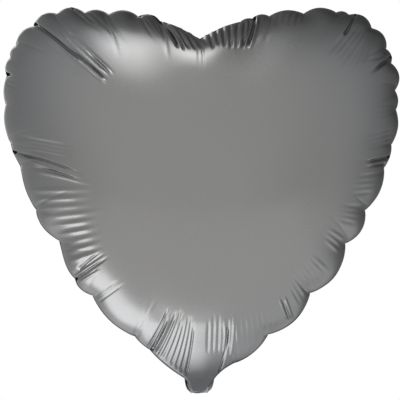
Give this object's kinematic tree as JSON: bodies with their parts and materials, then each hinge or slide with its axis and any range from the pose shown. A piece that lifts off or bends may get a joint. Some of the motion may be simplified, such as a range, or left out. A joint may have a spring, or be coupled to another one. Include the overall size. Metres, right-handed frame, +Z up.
{
  "type": "heart-shaped foil balloon",
  "caption": "Inflated heart-shaped foil balloon with a flat heat-sealed seam, a self-closing film valve in the neck and a filling tail folded up behind the tip.",
  "frame": {"origin": "middle of the neck where it leaves the heart's tip, on the plane of the seam, where a ribbon is tied", "axes": "+X to the right seen from the front, along the width; +Y from the front to the back, square to the seam's plane; +Z up, from the neck to the notch between the lobes"},
  "size_m": [0.3954, 0.1706, 0.3853],
  "materials": {
    "front_foil": "satin",
    "back_foil": "satin",
    "tail_foil": "satin",
    "valve_film": "gloss"
  },
  "bodies": {
    "envelope": {"front_panel": "front_foil", "back_panel": "back_foil", "valve_front_ply": "valve_film", "valve_back_ply": "valve_film"},
    "tail": {"tail_front_ply": "tail_foil", "tail_back_ply": "tail_foil"},
    "valve_flap": {"valve_flap": "valve_film"}
  },
  "joints": [
    {"name": "tail_unfold", "type": "hinge", "parent": "envelope", "child": "tail", "pos_m": [0, 0.0014, -0.0155], "axis": [-1, 0, 0], "range_deg": [0, 150]},
    {"name": "valve_open", "type": "hinge", "parent": "envelope", "child": "valve_flap", "pos_m": [0, 0.00015, 0.002], "axis": [-1, 0, 0], "range_deg": [0, 8], "stiffness_Nm_per_rad": 0.0005}
  ]
}
